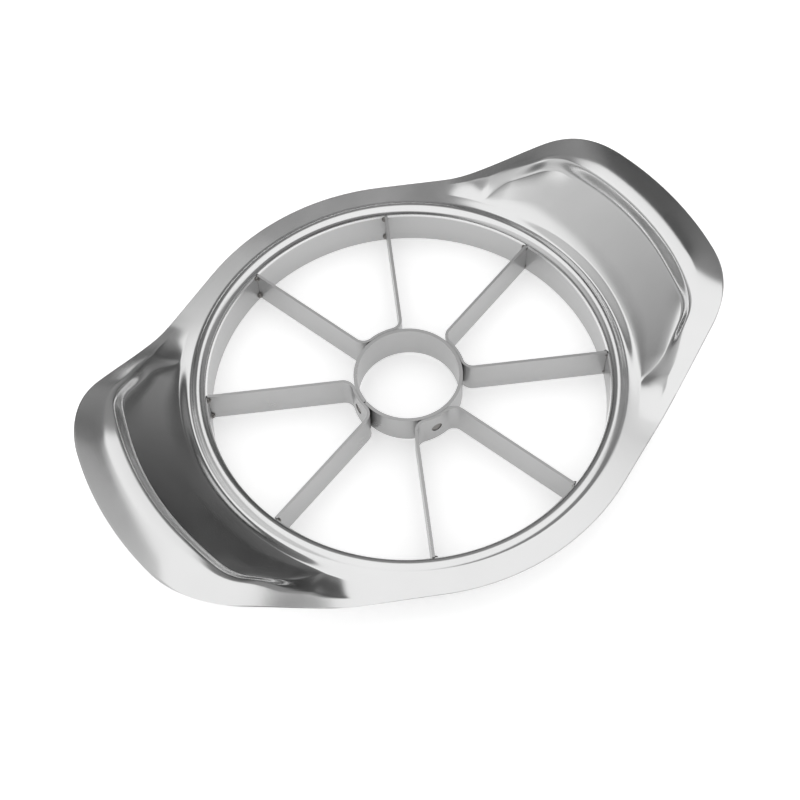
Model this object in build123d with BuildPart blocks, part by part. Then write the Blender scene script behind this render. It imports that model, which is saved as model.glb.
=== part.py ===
from build123d import *
from math import acos, asin, atan2, cos, degrees, hypot, radians, sin, sqrt, tan
import os

# Apple slicer and corer, pressed by hand down through a whole apple.
# Millimetres. +Z up, origin on the ring's axis, in the plane the collar's rim stands on.
# +X runs along the two handles.

# ---------------------------------------------------------------- driving dimensions
# pressed frame: collar, bead and plain flange
SHEET = 0.8                # frame sheet thickness
OPENING_R = 42.9           # bore of the drawn collar
BEAD_R = 1.8               # outside radius of the rolled bead
BEAD_CENTRE_Z = 8.3        # height of the bead's centre, and of the collar's straight wall
BEAD_TURN = 40.0           # how far the bead rolls down past its crest, degrees
VALLEY_R = 1.2             # radius of the crease between bead and flange
FLANGE_REACH = 8.3         # edge of the plain flange beside the handles, from the bore

# handles
HANDLE_REACH = 27.0        # end of each handle, from the bore
HANDLE_CORNER_R = 21.5     # plan radius of the handle corners
FLANK_NORMAL = 64.9        # direction the straight flank faces, off the handle's axis, degrees
LIFT_SETBACK = 6.6         # where the edge starts to climb, back from the bore along the handle
LIFT_RUN = 33.0            # distance the edge climbs over
LIFT = 10.3                # how high it climbs
RIM_BAND = 5.8             # width of the falling border round a handle
END_FALL = 1.5             # drop of that border at the handle's end
FLANK_FALL = 0.6           # further drop of it along the flanks
FLANK_FALL_START = 8.0     # where that further drop comes in, off the handle's axis, degrees
FLANK_FALL_END = 24.0
BORDER_FADE_START = 29.0   # where the whole drop dies away towards the plain flange, degrees
BORDER_FADE_END = 47.0
BORDER_BOW = 0.2           # how far the border bows up from a straight slope
CREST_SHARE = 0.2          # least part of the way from panel wall to edge that the crest keeps

# crescent finger panels
PANEL_GAP = 5.9            # concentric inner edge, from the bore
PANEL_DEPTH = 11.3         # width of the crescent on the handle's axis
PANEL_CORNER_R = 9.0       # its outer corners
PANEL_FLANK_NORMAL = 59.4  # direction its straight sides face, degrees
PANEL_FLANK_GAP = 5.3      # those sides from the ring's axis, less the bore
PANEL_HORN = 37.0          # half angle between the crescent's horns, degrees
PANEL_HORN_ARC = 4.0       # length of each horn's rounding, degrees
PANEL_HORN_END = 0.3       # width the crescent closes to
PANEL_LIFT = 1.4           # inner edge of the panel above the plain flange
PANEL_SLOPE = 34.0         # climb of the panel, degrees
PANEL_LEVEL_OUT = 0.55     # height over which that climb levels out into the plain flange
PANEL_FOOT = 1.1           # plan width of the hollow at the foot of the pressed wall
PANEL_WALL = 1.7           # plan width of that wall
WALL_SPREAD = 2.2          # how much wider it gets past the horns, where it runs out
WALL_TOP_RUN = 0.8         # plan width its top rounds over
WALL_TOP_SLOPE = 15.0      # climb left at its top, degrees
INNER_RIDGE = 0.8          # plan width of the ridge between valley and panel

# cutters
STRIP_COUNT = 4            # each bent strip makes two blades
STAR_TURN = -4.0           # turn of the cutters against the handles, degrees
STRIP = 0.6                # strip thickness
STRIP_HEIGHT = 8.4
STRIP_LIFT = 0.4           # lower edges above the collar's rim
STRIP_BEND_R = 2.2         # inside bend radius where a blade leaves the core
BEVEL_HEIGHT = 1.5         # ground lower edge of a blade
CORE_BEVEL_HEIGHT = 0.9    # ground lower edge of the core ring
BEVEL_LAND = 0.2           # thickness left at the cutting edge
CORE_R = 11.65             # outside radius of the core ring
CORE_WALL = 0.75
CORE_SEAM = 0.35           # butt gap where the rolled core ring meets
CORE_SEAM_ANGLE = 184.0    # where that gap is, degrees
SEAT_GAP = 0.05            # strip to core ring, and blade end to collar

# welds
WELD_GAP = 0.02            # weld metal to the pieces it holds
SPOT_R = 1.2               # spot weld through a strip onto the core ring
SPOT_Z = 4.6               # its height
SPOT_DIMPLE = 0.15         # depth the electrode left
TACK_R = 0.75              # tack weld in the corner of blade and collar
TACK_INSET = 1.0           # tack centre from the blade's upper or lower edge

os.makedirs("parts", exist_ok=True)

# ---------------------------------------------------------------- sizes that follow
bead_r = OPENING_R + BEAD_R
valley_r = bead_r + (BEAD_R + VALLEY_R) * sin(radians(BEAD_TURN))
valley_centre_z = BEAD_CENTRE_Z + (BEAD_R + VALLEY_R) * cos(radians(BEAD_TURN))
flange_z = valley_centre_z - VALLEY_R
flange_edge_r = OPENING_R + FLANGE_REACH
handle_r = OPENING_R + HANDLE_REACH
lift_start = OPENING_R - LIFT_SETBACK
panel_inner_r = OPENING_R + PANEL_GAP
panel_outer_r = panel_inner_r + PANEL_DEPTH
panel_flank_r = OPENING_R + PANEL_FLANK_GAP
strip_top_z = STRIP_LIFT + STRIP_HEIGHT
blade_end_r = OPENING_R - SEAT_GAP
half_pitch = 90 / STRIP_COUNT


# ---------------------------------------------------------------- shape of the handles
def smooth(value, low, high):
    """0 at low, 1 at high, level at both ends."""
    u = min(max((value - low) / (high - low), 0.0), 1.0)
    return u * u * (3 - 2 * u)


def rounded_flank(phi, end_r, flank_r, flank_normal, corner_r):
    """Radius at phi off the handle's axis of an end arc, a corner arc, a straight flank and the ring."""
    phi = abs(phi)
    centre_r = end_r - corner_r
    centre_phi = flank_normal - degrees(acos((flank_r - corner_r) / centre_r))
    centre_x = centre_r * cos(radians(centre_phi))
    centre_y = centre_r * sin(radians(centre_phi))
    tangent_x = centre_x + corner_r * cos(radians(flank_normal))
    tangent_y = centre_y + corner_r * sin(radians(flank_normal))
    if phi <= centre_phi:
        return end_r
    if phi <= degrees(atan2(tangent_y, tangent_x)):
        along = centre_r * cos(radians(phi - centre_phi))
        return along + sqrt(along**2 - centre_r**2 + corner_r**2)
    return flank_r / cos(radians(min(phi - flank_normal, 0)))


def edge_z(radius, phi):
    """Height of the handle's outer edge, which climbs along the handle's axis."""
    along = radius * cos(radians(phi))
    return flange_z + LIFT * smooth(along, lift_start, lift_start + LIFT_RUN)


def border_fall(phi):
    """Drop of the border from its crest to the edge, gone where the handle meets the plain flange."""
    fall = END_FALL + FLANK_FALL * smooth(abs(phi), FLANK_FALL_START, FLANK_FALL_END)
    return fall * (1 - smooth(abs(phi), BORDER_FADE_START, BORDER_FADE_END))


def panel_z(radius, phi):
    """Height of the finger panel, which never dips under the plain flange."""
    along = radius * (1 + cos(radians(phi))) / 2
    lift = PANEL_LIFT + (along - panel_inner_r) * tan(radians(PANEL_SLOPE))
    lift = (lift + sqrt(lift**2 + PANEL_LEVEL_OUT**2)) / 2
    return flange_z + lift * (1 - smooth(abs(phi), PANEL_HORN - PANEL_HORN_ARC, BORDER_FADE_END))


def panel_edge(phi):
    """Outer edge of the crescent, closing on its inner edge at the horns."""
    edge = rounded_flank(phi, panel_outer_r, panel_flank_r, PANEL_FLANK_NORMAL, PANEL_CORNER_R)
    close = min(max(1 - (PANEL_HORN - abs(phi)) / PANEL_HORN_ARC, 0.0), 1.0)
    closed = panel_inner_r + PANEL_HORN_END
    return closed + (edge - closed) * sqrt(1 - close**2)


def between(start, end, share):
    """The point at that share of the way from start to end."""
    return (start[0] + share * (end[0] - start[0]), start[1] + share * (end[1] - start[1]))


def flange_line(phi):
    """Control points (radius, z) of the visible surface at phi, from the valley to the edge."""
    ridge = panel_inner_r - INNER_RIDGE
    panel = panel_edge(phi)
    foot = panel - min(PANEL_FOOT, 0.45 * (panel - panel_inner_r))
    edge_r = rounded_flank(phi, handle_r, flange_edge_r, FLANK_NORMAL, HANDLE_CORNER_R)
    wall = panel + PANEL_WALL + WALL_SPREAD * smooth(abs(phi), BORDER_FADE_START, PANEL_HORN)
    wall = min(wall, panel + 0.6 * (edge_r - panel))
    inner = (handle_r - RIM_BAND, flange_edge_r - RIM_BAND, FLANK_NORMAL, HANDLE_CORNER_R - RIM_BAND)
    crest_r = max(rounded_flank(phi, *inner), wall + CREST_SHARE * (edge_r - wall))
    edge = (edge_r, edge_z(edge_r, phi))
    crest = (crest_r, edge[1] + border_fall(phi))
    height = crest[1] - flange_z
    climb = min((crest_r - wall) * tan(radians(WALL_TOP_SLOPE)), 0.2 * height)
    wall_top = (wall, crest[1] - climb)
    rounding = between(wall_top, crest, -min(WALL_TOP_RUN, 0.4 * (wall - panel)) / (crest_r - wall))
    middle = between(crest, edge, 0.5)
    bow = (middle[0], middle[1] + BORDER_BOW * border_fall(phi) / END_FALL)
    return [
        (valley_r, flange_z),
        ((valley_r + ridge) / 2, flange_z),
        (ridge, panel_z(panel_inner_r, phi)),
        (panel_inner_r, panel_z(panel_inner_r, phi)),
        (foot, panel_z(foot, phi)),
        (panel, panel_z(panel, phi)),
        rounding,
        wall_top,
        crest,
        crest,
        between(crest, bow, 0.4),
        bow,
        edge,
    ]


def sheet_below(line):
    """The control points moved down by the sheet's thickness, square to the line."""
    moved = []
    for i, (r, z) in enumerate(line):
        # points 8 and 9 are both the crest
        before = line[7] if i == 9 else line[max(i - 1, 0)]
        after = line[10] if i == 8 else line[min(i + 1, len(line) - 1)]
        run = after[0] - before[0]
        climb = after[1] - before[1]
        length = hypot(run, climb)
        moved.append((r + SHEET * climb / length, z - SHEET * run / length))
    return moved


def frame_section(phi):
    """The pressed sheet, cut upright through the ring's axis at phi."""
    top = flange_line(phi)
    under = sheet_below(top)
    bead_top = CenterArc((bead_r, BEAD_CENTRE_Z), BEAD_R, 180, -90 - BEAD_TURN)
    valley_top = CenterArc((valley_r, valley_centre_z), VALLEY_R, 270 - BEAD_TURN, BEAD_TURN)
    valley_under = CenterArc((valley_r, valley_centre_z), VALLEY_R + SHEET, 270, -BEAD_TURN)
    bead_under = CenterArc((bead_r, BEAD_CENTRE_Z), BEAD_R - SHEET, 90 - BEAD_TURN, 90 + BEAD_TURN)
    outline = [
        Line((OPENING_R, 0), (OPENING_R, BEAD_CENTRE_Z)),
        bead_top,
        valley_top,
        Bezier(*top[0:4]),
        Line(top[3], top[4]),
        Bezier(*top[4:8]),
        Bezier(*top[7:11]),
        Bezier(*top[10:13]),
        Line(top[12], under[12]),
        Bezier(*reversed(under[10:13])),
        Bezier(*reversed(under[7:11])),
        Bezier(*reversed(under[4:8])),
        Line(under[4], under[3]),
        Bezier(*reversed(under[0:4])),
        valley_under,
        bead_under,
        Line((OPENING_R + SHEET, BEAD_CENTRE_Z), (OPENING_R + SHEET, 0)),
        Line((OPENING_R + SHEET, 0), (OPENING_R, 0)),
    ]
    out = Vector(1, 0, 0).rotate(Axis.Z, phi)
    upright = Plane(origin=(0, 0, 0), x_dir=out, z_dir=out.cross(Vector(0, 0, 1)))
    return upright * Face(Wire(outline))


# ---------------------------------------------------------------- pressed frame
# closer stations where the corners turn and the crescent's horns close
quarter = [3, 6, 9, 12, 14, 16, 18, 20, 22, 24, 26, 28, 30, 31.5, 33, 34, 35, 35.8, 36.5, 37, 38, 39.5,
           41, 43, 45, 48, 52, 57, 63, 70, 77, 84, 90]
stations = [-phi for phi in reversed(quarter)] + [0] + quarter
sections = [frame_section(phi) for phi in stations]

with BuildPart() as frame:
    loft(sections)
    mirror(about=Plane.YZ)

# ---------------------------------------------------------------- core ring
with BuildPart() as core_ring:
    # one wall, its outside ground away to the cutting edge, turned round the axis
    with BuildSketch(Plane.XZ):
        with BuildLine():
            Polyline(
                (CORE_R, STRIP_LIFT + CORE_BEVEL_HEIGHT),
                (CORE_R, strip_top_z),
                (CORE_R - CORE_WALL, strip_top_z),
                (CORE_R - CORE_WALL, STRIP_LIFT),
                (CORE_R - CORE_WALL + BEVEL_LAND, STRIP_LIFT),
                close=True,
            )
        make_face()
    revolve(axis=Axis.Z)
    with BuildSketch(Plane.XY.rotated((0, 0, CORE_SEAM_ANGLE))):
        with Locations((CORE_R, 0)):
            Rectangle(4 * CORE_WALL, CORE_SEAM)
    extrude(amount=2 * STRIP_HEIGHT, mode=Mode.SUBTRACT)

# ---------------------------------------------------------------- bent blade strips
# centre line of a strip: blade, bend, flange round the core, bend, blade; symmetric about +X
flange_r = CORE_R + SEAT_GAP + STRIP / 2
bend_r = STRIP_BEND_R + STRIP / 2
bend_centre_r = flange_r + bend_r
bend_span = degrees(asin(bend_r / bend_centre_r))
bend_centre_phi = half_pitch - bend_span
bend_centre = Vector(bend_centre_r, 0, 0).rotate(Axis.Z, bend_centre_phi)
blade_start_r = sqrt(bend_centre_r**2 - bend_r**2)
blade_start = Vector(blade_start_r, 0, 0).rotate(Axis.Z, half_pitch)
blade_end = Vector(OPENING_R + STRIP, 0, 0).rotate(Axis.Z, half_pitch)

with BuildPart() as strip:
    with BuildSketch(Plane.XY.offset(STRIP_LIFT)):
        with BuildLine() as half_run:
            CenterArc((0, 0), flange_r, 0, bend_centre_phi)
            CenterArc(bend_centre, bend_r, bend_centre_phi + 180, bend_span - 90)
            Line(blade_start, blade_end)
            mirror(about=Plane.XZ)
            offset(amount=STRIP / 2, side=Side.BOTH)
        make_face()
    extrude(amount=STRIP_HEIGHT)
    # blade ends follow the collar's bore
    with BuildSketch():
        Circle(blade_end_r)
    extrude(amount=2 * STRIP_HEIGHT, mode=Mode.INTERSECT)
    # one face of each blade is ground away to the cutting edge
    with BuildSketch(Plane(origin=blade_start, x_dir=blade_start.cross(Vector(0, 0, 1)), z_dir=blade_end)):
        with BuildLine():
            Polyline(
                (-STRIP / 2, STRIP_LIFT),
                (STRIP / 2 - BEVEL_LAND, STRIP_LIFT),
                (-STRIP / 2, STRIP_LIFT + BEVEL_HEIGHT),
                close=True,
            )
        make_face()
    ground = extrude(amount=OPENING_R, mode=Mode.PRIVATE)
    add(ground, mode=Mode.SUBTRACT)
    add(ground.mirror(Plane.XZ), mode=Mode.SUBTRACT)
    # the spot weld goes through the flange
    with BuildSketch(Plane.YZ.offset(CORE_R)):
        with Locations((0, SPOT_Z)):
            Circle(SPOT_R)
    extrude(amount=2 * STRIP, mode=Mode.SUBTRACT)

with BuildPart() as blade_strip_1:
    add(strip.part.rotate(Axis.Z, STAR_TURN))

with BuildPart() as blade_strip_2:
    add(strip.part.rotate(Axis.Z, STAR_TURN + 2 * 2 * half_pitch))

with BuildPart() as blade_strip_3:
    add(strip.part.rotate(Axis.Z, STAR_TURN + 4 * 2 * half_pitch))

with BuildPart() as blade_strip_4:
    add(strip.part.rotate(Axis.Z, STAR_TURN + 6 * 2 * half_pitch))

# ---------------------------------------------------------------- spot welds, strips to core ring
with BuildPart() as core_spot_welds:
    with BuildSketch(Plane.YZ.offset(CORE_R - 2 * SEAT_GAP)):
        with Locations((0, SPOT_Z)):
            Circle(SPOT_R - WELD_GAP)
    nugget = extrude(amount=2 * STRIP, mode=Mode.PRIVATE)
    with BuildSketch():
        Circle(CORE_R + SEAT_GAP + STRIP - SPOT_DIMPLE)
        Circle(CORE_R + WELD_GAP, mode=Mode.SUBTRACT)
    shell = extrude(amount=2 * STRIP_HEIGHT, mode=Mode.PRIVATE)
    with PolarLocations(0, STRIP_COUNT, start_angle=STAR_TURN):
        add(nugget & shell)

# ---------------------------------------------------------------- tack welds, blades to collar
with BuildPart() as collar_welds:
    with Locations((OPENING_R, STRIP / 2, STRIP_LIFT + TACK_INSET)):
        low = Sphere(TACK_R, mode=Mode.PRIVATE)
    with Locations((OPENING_R, STRIP / 2, strip_top_z - TACK_INSET)):
        high = Sphere(TACK_R, mode=Mode.PRIVATE)
    with BuildSketch():
        Circle(OPENING_R - WELD_GAP)
        Rectangle(4 * OPENING_R, STRIP + 2 * WELD_GAP, mode=Mode.SUBTRACT)
    corner = extrude(amount=2 * STRIP_HEIGHT, mode=Mode.PRIVATE)
    with PolarLocations(0, 2 * STRIP_COUNT, start_angle=STAR_TURN + half_pitch):
        add(low & corner)
        add(high & corner)

# ---------------------------------------------------------------- labels and export
frame.part.label = "frame"
core_ring.part.label = "core_ring"
blade_strip_1.part.label = "blade_strip_1"
blade_strip_2.part.label = "blade_strip_2"
blade_strip_3.part.label = "blade_strip_3"
blade_strip_4.part.label = "blade_strip_4"
core_spot_welds.part.label = "core_spot_welds"
collar_welds.part.label = "collar_welds"

export_step(frame.part, "parts/frame.step")
export_step(core_ring.part, "parts/core_ring.step")
export_step(blade_strip_1.part, "parts/blade_strip_1.step")
export_step(blade_strip_2.part, "parts/blade_strip_2.step")
export_step(blade_strip_3.part, "parts/blade_strip_3.step")
export_step(blade_strip_4.part, "parts/blade_strip_4.step")
export_step(core_spot_welds.part, "parts/core_spot_welds.step")
export_step(collar_welds.part, "parts/collar_welds.step")
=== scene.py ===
from math import acos, atan2, cos, degrees, hypot, pi, radians, sin, sqrt, tan

import bpy
from mathutils import Matrix, Vector


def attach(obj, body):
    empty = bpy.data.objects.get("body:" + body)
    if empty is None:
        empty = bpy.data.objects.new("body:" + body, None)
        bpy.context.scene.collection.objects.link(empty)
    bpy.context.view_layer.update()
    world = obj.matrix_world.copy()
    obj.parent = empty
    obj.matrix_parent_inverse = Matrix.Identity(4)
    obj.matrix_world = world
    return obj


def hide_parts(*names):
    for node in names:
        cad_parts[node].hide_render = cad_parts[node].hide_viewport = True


# Apple slicer and corer: a pressed stainless frame round eight bent-strip blades and a core ring.
# The frame is drawn again here as one smooth sheet. It shares the solid's main sizes, and its flanks,
# border and finger panels follow the photograph more closely. The blades, the core ring and the welds
# keep their solids and get their finishes here.

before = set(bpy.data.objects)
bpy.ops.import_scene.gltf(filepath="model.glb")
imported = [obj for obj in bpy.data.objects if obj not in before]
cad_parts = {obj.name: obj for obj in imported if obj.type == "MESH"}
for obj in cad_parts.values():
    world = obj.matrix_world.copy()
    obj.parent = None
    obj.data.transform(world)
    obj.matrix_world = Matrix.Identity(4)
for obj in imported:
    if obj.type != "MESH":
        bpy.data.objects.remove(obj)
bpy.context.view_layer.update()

MM = 0.001

# ---------------------------------------------------------------- the pressed frame, mm and degrees
# collar, bead and plain flange
SHEET = 0.8
OPENING_R = 42.9
RIM_BREAK = 0.18            # broken corners of the lower rim
BEAD_R = 1.8
BEAD_CENTRE_Z = 8.3
BEAD_TURN = 40.0            # past the bead's top, where the valley takes over
VALLEY_R = 1.2
FLANGE_REACH = 8.3
FLANGE_DROOP = 0.22         # sets in between the panels' horns and the next angle
DROOP_FULL = 52.0
# handles, with angles off their axis
HANDLE_REACH = 27.0
HANDLE_CORNER_R = 21.5
FLANK_NORMAL = 64.9         # direction that a straight flank faces
LIFT_SETBACK = 6.6          # inside the opening's edge, where the handle starts to climb
LIFT_RUN = 33.0
LIFT = 10.3
FLANK_START = 12.0          # the end's shape turns into the flanks' between these two
FLANK_FULL = 25.0
FLANK_RISE = 0.9
FLANK_DISH = 0.2
END_FALL = 1.5              # of the border at the end, from its crest to the edge
BORDER_FADE_START = 29.0    # the flanks' shape turns into the plain flange between these two
BORDER_FADE_END = 47.0
BORDER_BOW = 0.33
CREST_SHARE = 0.14          # of the way from the wall to the edge
END_CREST_MORE = 0.15
CREST_REACH = 0.4           # of the way to the border's middle, where the crest's rounding ends
# crescent finger panels
PANEL_GAP = 5.9             # from the opening to the panel
PANEL_DEPTH = 10.9
PANEL_CORNER_R = 9.0
PANEL_FLANK_NORMAL = 59.4
PANEL_FLANK_GAP = 5.3
PANEL_HORN = 37.0           # where the crescent ends
PANEL_HORN_ARC = 6.0        # over which it closes
PANEL_HORN_END = 0.3
PANEL_LIFT = 1.4
PANEL_SLOPE = 34.0
PANEL_LEVEL_OUT = 0.55      # rounds the foot of the slope
PANEL_AXIS_SHARE = 0.25     # how far the slope follows the handle's axis and not the radius
PANEL_FOOT = 0.8            # outer strip where the panel turns into its wall
PANEL_FOOT_SHARE = 0.45     # the most of the panel that the strip takes
INNER_RIDGE = 0.8
# pressed wall round a panel
PANEL_WALL = 1.4
END_WALL_LESS = 0.3
WALL_SPREAD_START = 27.0    # from here to past the horn the wall spreads and dies out
WALL_SPREAD_PAST_HORN = 3.0
WALL_SPREAD_SHARE = 0.6
WALL_TOP_CLIMB = 0.12       # share of the wall's height that its rounded top takes
WALL_TOP_RUN = 0.8
WALL_TOP_SHARE = 0.4
GROOVE_ROUND = 0.6
GROOVE_DEPTH = 0.45
# sheared outer edge
EDGE_ROUND = 0.2            # taken off each corner
EDGE_CORNER = 0.06          # from the sharp corner to the middle of its rounding
EDGE_FLAT = 0.35            # depth at which the flat cut starts
# sections round the ring, and points along each stretch of a section
SECTIONS = 576
COLLAR_Z = (0.0, 0.35, 4.0)
BEAD_POINTS = 16
VALLEY_POINTS = 6
RIDGE_POINTS = 10
PANEL_POINTS = 3
WALL_POINTS = 18
CREST_POINTS = 12
BORDER_POINTS = 12

bead_r = OPENING_R + BEAD_R
valley_r = bead_r + (BEAD_R + VALLEY_R) * sin(radians(BEAD_TURN))
valley_centre_z = BEAD_CENTRE_Z + (BEAD_R + VALLEY_R) * cos(radians(BEAD_TURN))
flange_z = valley_centre_z - VALLEY_R
flange_edge_r = OPENING_R + FLANGE_REACH
handle_r = OPENING_R + HANDLE_REACH
lift_start = OPENING_R - LIFT_SETBACK
panel_inner_r = OPENING_R + PANEL_GAP
panel_outer_r = panel_inner_r + PANEL_DEPTH
panel_flank_r = OPENING_R + PANEL_FLANK_GAP


def smooth(value, low, high):
    """0 at low, 1 at high, level at both ends."""
    u = min(max((value - low) / (high - low), 0.0), 1.0)
    return u * u * (3 - 2 * u)


def rounded_flank(phi, end_r, flank_r, flank_normal, corner_r):
    """Radius at phi off the handle's axis of an end arc, a corner arc, a straight flank and the ring."""
    phi = abs(phi)
    centre_r = end_r - corner_r
    centre_phi = flank_normal - degrees(acos((flank_r - corner_r) / centre_r))
    centre_x = centre_r * cos(radians(centre_phi))
    centre_y = centre_r * sin(radians(centre_phi))
    tangent_x = centre_x + corner_r * cos(radians(flank_normal))
    tangent_y = centre_y + corner_r * sin(radians(flank_normal))
    if phi <= centre_phi:
        return end_r
    if phi <= degrees(atan2(tangent_y, tangent_x)):
        along = centre_r * cos(radians(phi - centre_phi))
        return along + sqrt(along**2 - centre_r**2 + corner_r**2)
    return flank_r / cos(radians(min(phi - flank_normal, 0)))


def at_end(phi):
    """1 at the handle's end, 0 from its flanks on."""
    return 1 - smooth(abs(phi), FLANK_START, FLANK_FULL)


def on_flank(phi):
    """1 along the handle's straight flanks, 0 at its end and on the plain flange."""
    return (1 - at_end(phi)) * (1 - smooth(abs(phi), BORDER_FADE_START, BORDER_FADE_END))


def edge_z(radius, phi):
    """Height of the handle's outer edge, which climbs along the handle's axis."""
    along = radius * cos(radians(phi))
    climb = LIFT * smooth(along, lift_start, lift_start + LIFT_RUN)
    return flange_z + climb + FLANK_RISE * on_flank(phi)


def border_fall(phi):
    """Drop of the border from its crest to the edge: at the end only, the flanks are nearly level."""
    return END_FALL * at_end(phi) - FLANK_DISH * on_flank(phi)


def panel_z(radius, phi):
    """Height of the finger panel, which never dips under the plain flange."""
    along = radius * (1 - PANEL_AXIS_SHARE * (1 - cos(radians(phi))))
    lift = PANEL_LIFT + (along - panel_inner_r) * tan(radians(PANEL_SLOPE))
    lift = (lift + sqrt(lift**2 + PANEL_LEVEL_OUT**2)) / 2
    return flange_z + lift * (1 - smooth(abs(phi), PANEL_HORN - PANEL_HORN_ARC, BORDER_FADE_END))


def panel_edge(phi):
    """Outer edge of the crescent, closing on its inner edge at the horns."""
    edge = rounded_flank(phi, panel_outer_r, panel_flank_r, PANEL_FLANK_NORMAL, PANEL_CORNER_R)
    close = min(max(1 - (PANEL_HORN - abs(phi)) / PANEL_HORN_ARC, 0.0), 1.0)
    closed = panel_inner_r + PANEL_HORN_END
    return closed + (edge - closed) * (1 - close**2)


def between(start, end, share):
    """The point at that share of the way from start to end."""
    return (start[0] + share * (end[0] - start[0]), start[1] + share * (end[1] - start[1]))


def heading(start, end):
    """How far a step of 1 from start towards end goes out and up."""
    length = hypot(end[0] - start[0], end[1] - start[1])
    return ((end[0] - start[0]) / length, (end[1] - start[1]) / length)


def flange_line(phi):
    """Control points (radius, z) of the visible surface at phi, from the valley to the edge."""
    ridge = panel_inner_r - INNER_RIDGE
    panel = panel_edge(phi)
    foot = panel - min(PANEL_FOOT, PANEL_FOOT_SHARE * (panel - panel_inner_r))
    edge_r = rounded_flank(phi, handle_r, flange_edge_r, FLANK_NORMAL, HANDLE_CORNER_R)
    spread = smooth(abs(phi), WALL_SPREAD_START, PANEL_HORN + WALL_SPREAD_PAST_HORN)
    width = PANEL_WALL - END_WALL_LESS * at_end(phi)
    wall = panel + width + spread * (WALL_SPREAD_SHARE * (edge_r - panel) - width)
    crest_r = wall + (CREST_SHARE + END_CREST_MORE * at_end(phi)) * (edge_r - wall)
    edge = (edge_r, edge_z(edge_r, phi))
    crest = (crest_r, edge[1] + border_fall(phi))
    # the groove's foot is the lower of panel and border, softened where they stand equally high
    panel_top = panel_z(panel, phi)
    parted = sqrt((panel_top - crest[1])**2 + (GROOVE_ROUND * (1 - spread))**2)
    groove_z = (panel_top + crest[1] - parted) / 2
    # on the flanks the panel stands as high as the border, and only the groove parts them
    groove_z -= GROOVE_DEPTH * (1 - at_end(phi)) * (1 - spread)
    wall_top = (wall, crest[1] - WALL_TOP_CLIMB * (crest[1] - groove_z))
    run = min(WALL_TOP_RUN, WALL_TOP_SHARE * (wall - panel))
    rounding = between(wall_top, crest, -run / (crest_r - wall))
    middle = between(crest, edge, 0.5)
    bow = (middle[0], middle[1] + BORDER_BOW * border_fall(phi) / END_FALL)
    line = [
        (valley_r, flange_z),
        ((valley_r + ridge) / 2, flange_z),
        (ridge, panel_z(panel_inner_r, phi)),
        (panel_inner_r, panel_z(panel_inner_r, phi)),
        (foot, panel_z(foot, phi)),
        (panel, groove_z),
        rounding,
        wall_top,
        crest,
        crest,
        between(crest, bow, CREST_REACH),
        bow,
        edge,
    ]
    # the plain flange droops a little towards its edge
    droop = FLANGE_DROOP * smooth(abs(phi), PANEL_HORN, DROOP_FULL) / (flange_edge_r - valley_r)
    return [(r, z - droop * (r - valley_r)) for r, z in line]


def bezier_run(control, count):
    """count points along a four-point curve, its first point left out."""
    run = []
    for k in range(1, count + 1):
        t = k / count
        weights = ((1 - t)**3, 3 * t * (1 - t)**2, 3 * t * t * (1 - t), t**3)
        r = sum(w * p[0] for w, p in zip(weights, control))
        z = sum(w * p[1] for w, p in zip(weights, control))
        run.append((r, z))
    return run


def arc_run(centre, radius, start, turn, count):
    """The ends of count steps along an arc, its first point among them."""
    run = []
    for k in range(count + 1):
        a = radians(start + turn * k / count)
        run.append((centre[0] + radius * cos(a), centre[1] + radius * sin(a)))
    return run


def sheet_profile(phi):
    """Closed line round the sheet's cut face at phi: up the bore, over the bead, out and back under."""
    line = flange_line(phi)
    top = [(OPENING_R, z) for z in COLLAR_Z]
    top += arc_run((bead_r, BEAD_CENTRE_Z), BEAD_R, 180, -90 - BEAD_TURN, BEAD_POINTS)
    top += arc_run((valley_r, valley_centre_z), VALLEY_R, 270 - BEAD_TURN, BEAD_TURN, VALLEY_POINTS)[1:]
    top += bezier_run(line[0:4], RIDGE_POINTS)
    top += [between(line[3], line[4], k / PANEL_POINTS) for k in range(1, PANEL_POINTS + 1)]
    top += bezier_run(line[4:8], WALL_POINTS)
    top += bezier_run(line[7:11], CREST_POINTS)
    start, bow, end = line[10:]
    top += bezier_run([start, between(start, bow, 2 / 3), between(end, bow, 2 / 3), end], BORDER_POINTS)
    under = []
    for i, (r, z) in enumerate(top):
        out, up = heading(top[max(i - 1, 0)], top[min(i + 1, len(top) - 1)])
        under.append((r + SHEET * up, z - SHEET * out))
    out, up = heading(top[-2], top[-1])

    def on_edge(back, deep):
        """The point that far back from the sheared edge and that deep under the visible surface."""
        return (end[0] - out * back + up * deep, end[1] - up * back - out * deep)

    top[-1] = on_edge(EDGE_ROUND, 0.0)
    under[-1] = on_edge(EDGE_ROUND, SHEET)
    edge = [
        on_edge(EDGE_CORNER, EDGE_CORNER),
        on_edge(0.0, EDGE_FLAT),
        on_edge(0.0, SHEET - EDGE_FLAT),
        on_edge(EDGE_CORNER, SHEET - EDGE_CORNER),
    ]
    # the collar's lower rim, its corners broken, takes the place of the first point on each side
    inner, outer = OPENING_R, OPENING_R + SHEET
    rim = [(outer, RIM_BREAK), (outer - RIM_BREAK, 0.0), (inner + RIM_BREAK, 0.0), (inner, RIM_BREAK)]
    return top[1:] + edge + under[:0:-1] + rim


def add_mesh(name, vertices, faces, smooth_angle=32.0):
    """A mesh object in the scene, smooth where its faces meet at less than the angle."""
    mesh = bpy.data.meshes.new(name)
    mesh.from_pydata(vertices, [], faces)
    mesh.update()
    mesh.validate()
    piece = bpy.data.objects.new(name, mesh)
    bpy.context.scene.collection.objects.link(piece)
    for polygon in mesh.polygons:
        polygon.use_smooth = True
    mesh.set_sharp_from_angle(angle=radians(smooth_angle))
    return piece


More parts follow.
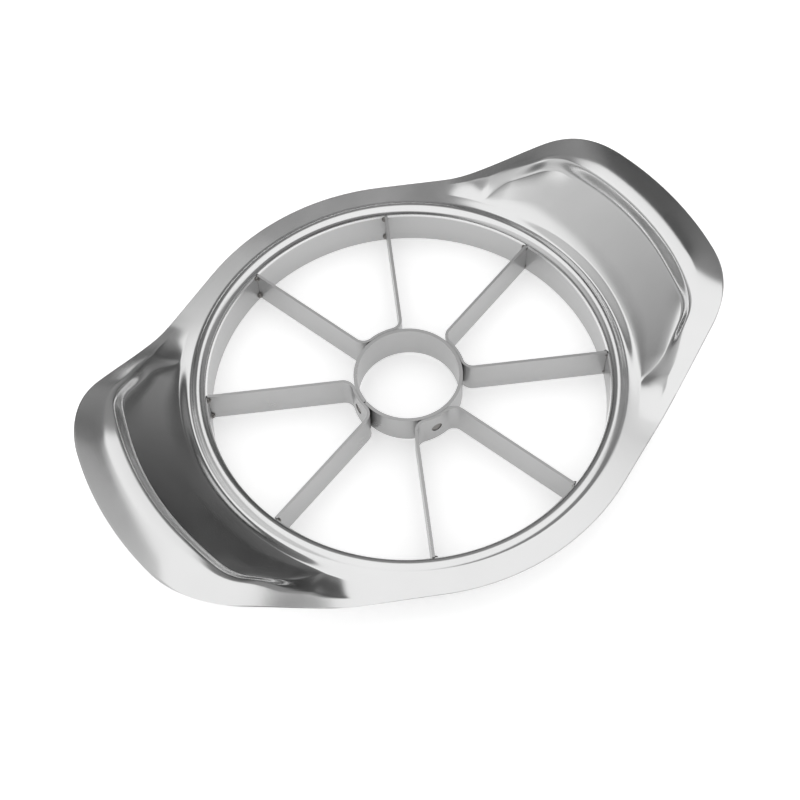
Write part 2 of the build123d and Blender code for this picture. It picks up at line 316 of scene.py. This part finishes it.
def pressed_frame():
    """The whole sheet as sections round the ring, alike on both handles and both sides of each."""
    vertices = []
    for step in range(SECTIONS):
        angle = 360.0 * step / SECTIONS
        phi = (angle + 180.0) % 360.0 - 180.0
        if abs(phi) > 90:
            phi = 180.0 - abs(phi)
        c, s = cos(radians(angle)), sin(radians(angle))
        vertices += [(r * c * MM, r * s * MM, z * MM) for r, z in sheet_profile(phi)]
    count = len(vertices) // SECTIONS
    faces = []
    for step in range(SECTIONS):
        here = step * count
        there = ((step + 1) % SECTIONS) * count
        for k in range(count):
            after = (k + 1) % count
            faces.append((here + k, here + after, there + after, there + k))
    return add_mesh("pressed_frame", vertices, faces)


# ---------------------------------------------------------------- shader nodes
MIX_SOCKETS = {"RGBA": (6, 7, 2), "FLOAT": (2, 3, 0)}  # a Mix node's two inputs and its output


def join(tree, value, socket):
    """Links another node's output to a socket, or gives the socket a plain value."""
    if isinstance(value, bpy.types.NodeSocket):
        tree.links.new(value, socket)
    else:
        socket.default_value = value


def node(tree, kind, inputs=None, **settings):
    """A new node, each of its inputs joined to a value or to another node's output."""
    made = tree.nodes.new(kind)
    for name, value in settings.items():
        setattr(made, name, value)
    for socket, value in (inputs or {}).items():
        join(tree, value, made.inputs[socket])
    return made


def maths(tree, operation, *values):
    """The result of one operation on numbers."""
    return node(tree, "ShaderNodeMath", dict(enumerate(values)), operation=operation).outputs[0]


def ramp(tree, value, low, high, to_low=0.0, to_high=1.0, kind="LINEAR"):
    """Goes from to_low to to_high as the value goes from low to high, and no further."""
    inputs = {"Value": value, "From Min": low, "From Max": high, "To Min": to_low, "To Max": to_high}
    return node(tree, "ShaderNodeMapRange", inputs, interpolation_type=kind).outputs["Result"]


def blend(tree, kind, share, first, second):
    """Goes from the first colour or number to the second as the share goes from 0 to 1."""
    a, b, result = MIX_SOCKETS[kind]
    return node(tree, "ShaderNodeMix", {0: share, a: first, b: second}, data_type=kind).outputs[result]


def number_group(name, inputs, outputs):
    """An empty node group with named number sockets, and the nodes at its two ends."""
    group = bpy.data.node_groups.new(name, "ShaderNodeTree")
    for socket_name, value in inputs.items():
        socket = group.interface.new_socket(name=socket_name, in_out="INPUT", socket_type="NodeSocketFloat")
        socket.default_value = value
    for socket_name in outputs:
        group.interface.new_socket(name=socket_name, in_out="OUTPUT", socket_type="NodeSocketFloat")
    return group, group.nodes.new("NodeGroupInput"), group.nodes.new("NodeGroupOutput")


# ---------------------------------------------------------------- finishes
HAIRLINE_STRETCH = (1.0, 0.04, 1.0)     # hairlines are noise drawn out along one direction
HAIRLINE_TURN = (0.0, 0.0, 0.5)         # radians
HAIRLINE_DEPTH = 0.1                    # mm
CLOUD_LOW, CLOUD_HIGH = 0.3, 0.7        # span of the cloudy marks over which the gloss changes
SATIN_AND_SHADE_REACH = 0.1                       # mm outside the collar, where its satin finish and its painted shade end
SATIN_AND_SHADE_SOFT_R, SATIN_AND_SHADE_SOFT_Z = 0.05, 0.3  # mm, how softly both end there and under the bead


def polish_marks_group():
    """Soft cloudy marks and hairlines that handling leaves on polished steel."""
    group, start, end = number_group(
        "polish_marks", {"Cloud Size": 60.0, "Hairline Size": 900.0}, ["Clouds", "Hairlines"])
    place = node(group, "ShaderNodeTexCoord").outputs["Object"]
    clouds = node(group, "ShaderNodeTexNoise", {
        "Vector": place, "Scale": start.outputs["Cloud Size"], "Detail": 4.0, "Roughness": 0.55})
    drawn_out = node(group, "ShaderNodeMapping", {
        "Vector": place, "Scale": HAIRLINE_STRETCH, "Rotation": HAIRLINE_TURN}).outputs["Vector"]
    hairlines = node(group, "ShaderNodeTexNoise", {
        "Vector": drawn_out, "Scale": start.outputs["Hairline Size"], "Detail": 2.0, "Roughness": 0.6})
    join(group, clouds.outputs["Fac"], end.inputs["Clouds"])
    join(group, hairlines.outputs["Fac"], end.inputs["Hairlines"])
    return group


def steel(name, marks, tones, roughness, cloud_size, hairline_size, hairline_bump):
    """A metal whose tone and gloss change slowly over the surface, with fine hairlines."""
    material = bpy.data.materials.new(name)
    material.use_nodes = True
    tree = material.node_tree
    shader = tree.nodes["Principled BSDF"]
    shader.inputs["Metallic"].default_value = 1.0
    use = node(tree, "ShaderNodeGroup", {"Cloud Size": cloud_size, "Hairline Size": hairline_size},
               node_tree=marks)
    clouds = use.outputs["Clouds"]
    low, high = ((*tone, 1.0) for tone in tones)
    join(tree, blend(tree, "RGBA", clouds, low, high), shader.inputs["Base Color"])
    join(tree, ramp(tree, clouds, CLOUD_LOW, CLOUD_HIGH, *roughness), shader.inputs["Roughness"])
    raised = node(tree, "ShaderNodeBump", {
        "Height": use.outputs["Hairlines"], "Strength": hairline_bump, "Distance": HAIRLINE_DEPTH * MM})
    join(tree, raised.outputs["Normal"], shader.inputs["Normal"])
    return material


def satin_and_shaded_collar(material, tone, roughness):
    """The collar is drawn, not polished: duller than the rest of the sheet, and darker, a tone that also
    paints the shade inside the bore and under the flange.
    """
    tree = material.node_tree
    shader = tree.nodes["Principled BSDF"]
    place = node(tree, "ShaderNodeTexCoord").outputs["Object"]
    level = node(tree, "ShaderNodeVectorMath", {0: place, 1: (1.0, 1.0, 0.0)}, operation="MULTIPLY")
    radius = node(tree, "ShaderNodeVectorMath", {0: level.outputs[0]}, operation="LENGTH").outputs["Value"]
    height = node(tree, "ShaderNodeSeparateXYZ", {"Vector": place}).outputs["Z"]
    end_r = OPENING_R + SHEET + SATIN_AND_SHADE_REACH
    near_bore = ramp(tree, radius, (end_r + SATIN_AND_SHADE_SOFT_R) * MM, (end_r - SATIN_AND_SHADE_SOFT_R) * MM)
    under_bead = ramp(tree, height, (BEAD_CENTRE_Z + SATIN_AND_SHADE_SOFT_Z) * MM, (BEAD_CENTRE_Z - SATIN_AND_SHADE_SOFT_Z) * MM)
    # the collar below the bead, where the darker tone is partly painted shade
    collar = maths(tree, "MULTIPLY", near_bore, under_bead)
    satin_and_shade = {"Base Color": ("RGBA", (tone, tone, tone, 1.0)), "Roughness": ("FLOAT", roughness)}
    for name, (kind, value) in satin_and_shade.items():
        polished = shader.inputs[name].links[0].from_socket
        join(tree, blend(tree, kind, collar, polished, value), shader.inputs[name])


def dress(name, material):
    """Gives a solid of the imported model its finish."""
    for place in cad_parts[name].material_slots:
        place.material = material


marks = polish_marks_group()
frame_steel = steel("frame_steel", marks, tones=((0.76, 0.76, 0.76), (0.88, 0.88, 0.88)),
                    roughness=(0.14, 0.22), cloud_size=55.0, hairline_size=700.0, hairline_bump=0.03)
# the collar's darker tone is partly painted shade inside the bore and under the flange
satin_and_shaded_collar(frame_steel, tone=0.5, roughness=0.32)
blade_steel = steel("blade_steel", marks, tones=((0.42, 0.42, 0.42), (0.52, 0.52, 0.52)),
                    roughness=(0.26, 0.36), cloud_size=90.0, hairline_size=1200.0, hairline_bump=0.12)
weld_metal = steel("weld_metal", marks, tones=((0.2, 0.19, 0.18), (0.34, 0.33, 0.32)),
                   roughness=(0.4, 0.55), cloud_size=600.0, hairline_size=1500.0, hairline_bump=0.3)

body = pressed_frame()
body.data.materials.append(frame_steel)
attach(body, "root")
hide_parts("frame")

for name in ("core_ring", "blade_strip_1", "blade_strip_2", "blade_strip_3", "blade_strip_4"):
    dress(name, blade_steel)
for name in ("core_spot_welds", "collar_welds"):
    dress(name, weld_metal)

# ---------------------------------------------------------------- floor, light and camera
WHITE = (1.0, 1.0, 1.0, 1.0)
FLOOR_REACH = 10.0          # m
PAPER_TONE = 0.93
PAPER_GLOW = 0.42           # what the camera sees on top of the light that falls on the paper
DAYLIGHT = 0.8              # strength of the light from all round
ROW_TURN = 30.6             # the photograph's left-to-right against the handles' axis, degrees

# The studio's round wall, m, which only the steel sees. Each row gives a direction round the part
# against the camera's right, the tone of the lower wall there, and the elevation at which it turns
# pale. Near the floor a skirt has less tone. Angles are in degrees.
WALL_R = 2.5
WALL_TOP = 6.0
WALL_SIDES = 96
WALL_TONES = ((0, 0.22, 42), (20, 0.28, 50), (44, 0.26, 56), (58, 0.09, 54), (68, 0.09, 53), (78, 0.2, 51),
              (90, 0.28, 46), (110, 0.22, 46), (128, 0.16, 50), (144, 0.2, 55), (154, 0.38, 55),
              (164, 0.46, 55), (180, 0.58, 56), (195, 0.63, 54), (215, 0.68, 50), (235, 0.6, 34),
              (250, 0.2, 26), (290, 0.22, 40), (330, 0.22, 44), (360, 0.22, 42))
WALL_SOFT = 6.5             # the turn to pale takes this much elevation
SKIRT_LOW, SKIRT_HIGH = 4.0, 20.0
SKIRT_TONE = 0.35
RAMP_DEGREES = 100.0        # a colour ramp holds 0 to 1, so elevations are shares of this

# The camera as fitted to the ring's circles. Its place is given along its own axes, mm.
CAMERA_TILT = 59.11         # elevation of the line of sight, degrees
CAMERA_ROLL = 2.8927
CAMERA_RIGHT = -1.943
CAMERA_UP = -1.4024
CAMERA_DISTANCE = 297.5598
CAMERA_BASE_Z = 0.7         # height of the point that these three start from
SENSOR = 36.0
LENS = 61.425


def seen_directly(tree):
    """1 for the camera and for reflections, 0 for the light that falls on things."""
    path = node(tree, "ShaderNodeLightPath")
    return maths(tree, "MAXIMUM", path.outputs["Is Camera Ray"], path.outputs["Is Glossy Ray"])


def paper_floor():
    """Matt paper that looks white and keeps the part's shadow."""
    r = FLOOR_REACH
    floor = add_mesh("floor", [(-r, -r, 0), (r, -r, 0), (r, r, 0), (-r, r, 0)], [(0, 1, 2, 3)])
    paper = bpy.data.materials.new("floor_paper")
    paper.use_nodes = True
    tree = paper.node_tree
    shader = tree.nodes["Principled BSDF"]
    shader.inputs["Base Color"].default_value = (PAPER_TONE, PAPER_TONE, PAPER_TONE, 1.0)
    shader.inputs["Roughness"].default_value = 0.9
    shader.inputs["Specular IOR Level"].default_value = 0.1
    shader.inputs["Emission Color"].default_value = WHITE
    glow = maths(tree, "MULTIPLY", seen_directly(tree), PAPER_GLOW)
    join(tree, glow, shader.inputs["Emission Strength"])
    floor.data.materials.append(paper)


def studio_world():
    """Even white light from all round, seen as plain white."""
    world = bpy.data.worlds.new("studio")
    bpy.context.scene.world = world
    world.use_nodes = True
    tree = world.node_tree
    sky = tree.nodes["Background"]
    sky.inputs["Color"].default_value = WHITE
    join(tree, ramp(tree, seen_directly(tree), 0.0, 1.0, DAYLIGHT, 1.0), sky.inputs["Strength"])


def wall_strip(tree, azimuth, column, scale):
    """One of the two numbers of WALL_TONES as a smooth function of direction."""
    strip = node(tree, "ShaderNodeValToRGB", {"Fac": azimuth})
    stops = strip.color_ramp
    stops.interpolation = "LINEAR"
    for row in WALL_TONES[1:-1]:
        stops.elements.new(row[0] / 360.0)
    for stop, row in zip(stops.elements, WALL_TONES):
        tone = row[column] * scale
        stop.color = (tone, tone, tone, 1.0)
    return strip.outputs["Color"]


def studio_wall():
    """A round wall with dim, grey and pale stretches that only reflections see."""
    vertices = []
    for k in range(WALL_SIDES):
        a = 2 * pi * k / WALL_SIDES
        vertices += [(WALL_R * cos(a), WALL_R * sin(a), z) for z in (0.0, WALL_TOP)]
    faces = []
    for k in range(WALL_SIDES):
        here, there = 2 * k, 2 * ((k + 1) % WALL_SIDES)
        faces.append((here, there, there + 1, here + 1))
    wall = add_mesh("studio_wall", vertices, faces)
    wall.visible_camera = False
    wall.visible_shadow = False
    wall.visible_diffuse = False
    paint = bpy.data.materials.new("wall_paint")
    paint.use_nodes = True
    tree = paint.node_tree
    tree.nodes.remove(tree.nodes["Principled BSDF"])
    place = node(tree, "ShaderNodeTexCoord").outputs["Object"]
    x, y, z = node(tree, "ShaderNodeSeparateXYZ", {"Vector": place}).outputs
    turns = maths(tree, "MULTIPLY_ADD", maths(tree, "ARCTAN2", y, x), 1 / (2 * pi), 1 + ROW_TURN / 360.0)
    azimuth = maths(tree, "FRACT", turns)
    angle = maths(tree, "ARCTANGENT", maths(tree, "DIVIDE", z, WALL_R))
    elevation = maths(tree, "MULTIPLY", angle, degrees(1) / RAMP_DEGREES)
    tone = wall_strip(tree, azimuth, 1, 1.0)
    pale_from = wall_strip(tree, azimuth, 2, 1 / RAMP_DEGREES)
    above = maths(tree, "SUBTRACT", elevation, pale_from)
    pale = ramp(tree, above, 0.0, WALL_SOFT / RAMP_DEGREES, kind="SMOOTHSTEP")
    skirt = ramp(tree, elevation, SKIRT_LOW / RAMP_DEGREES, SKIRT_HIGH / RAMP_DEGREES, SKIRT_TONE, 1.0,
                 kind="SMOOTHSTEP")
    lower = node(tree, "ShaderNodeVectorMath", {0: tone, "Scale": skirt}, operation="SCALE").outputs[0]
    glow = node(tree, "ShaderNodeEmission", {"Color": blend(tree, "RGBA", pale, lower, WHITE)})
    join(tree, glow.outputs["Emission"], tree.nodes["Material Output"].inputs["Surface"])
    wall.data.materials.append(paint)


def soft_box(name, azimuth, elevation, distance, size, power):
    """A lamp in a direction given against the camera's right, aimed at the part, not reflected by it."""
    data = bpy.data.lights.new(name, "AREA")
    data.shape = "SQUARE"
    data.size = size
    data.energy = power
    made = bpy.data.objects.new(name, data)
    bpy.context.scene.collection.objects.link(made)
    a = radians(azimuth - ROW_TURN)
    e = radians(elevation)
    place = Vector((cos(a) * cos(e), sin(a) * cos(e), sin(e))) * distance
    made.location = place
    made.rotation_euler = (-place).to_track_quat("-Z", "Y").to_euler()
    made.visible_glossy = False


def studio_camera():
    """Stands where the fitted photograph's camera stood, with its lens."""
    tilt, roll = radians(CAMERA_TILT), radians(CAMERA_ROLL)
    forward = Vector((0.0, cos(tilt), -sin(tilt)))
    level_right = Vector((1.0, 0.0, 0.0))
    level_up = Vector((0.0, sin(tilt), cos(tilt)))
    right = level_right * cos(roll) - level_up * sin(roll)
    up = level_right * sin(roll) + level_up * cos(roll)
    place = CAMERA_RIGHT * right + CAMERA_UP * up - CAMERA_DISTANCE * forward
    place.z += CAMERA_BASE_Z
    turn = Matrix.Rotation(radians(-ROW_TURN), 3, "Z")
    axes = Matrix((turn @ right, turn @ up, -(turn @ forward))).transposed()
    data = bpy.data.cameras.new("studio_camera")
    data.lens = LENS
    data.sensor_width = SENSOR
    data.clip_start = 0.01
    made = bpy.data.objects.new("studio_camera", data)
    bpy.context.scene.collection.objects.link(made)
    made.matrix_world = Matrix.Translation((turn @ place) * MM) @ axes.to_4x4()
    bpy.context.scene.camera = made


paper_floor()
studio_world()
studio_wall()
soft_box("soft_box_top", azimuth=100.0, elevation=72.0, distance=1.6, size=1.2, power=3.0)
studio_camera()
bpy.context.scene.view_settings.view_transform = "Standard"
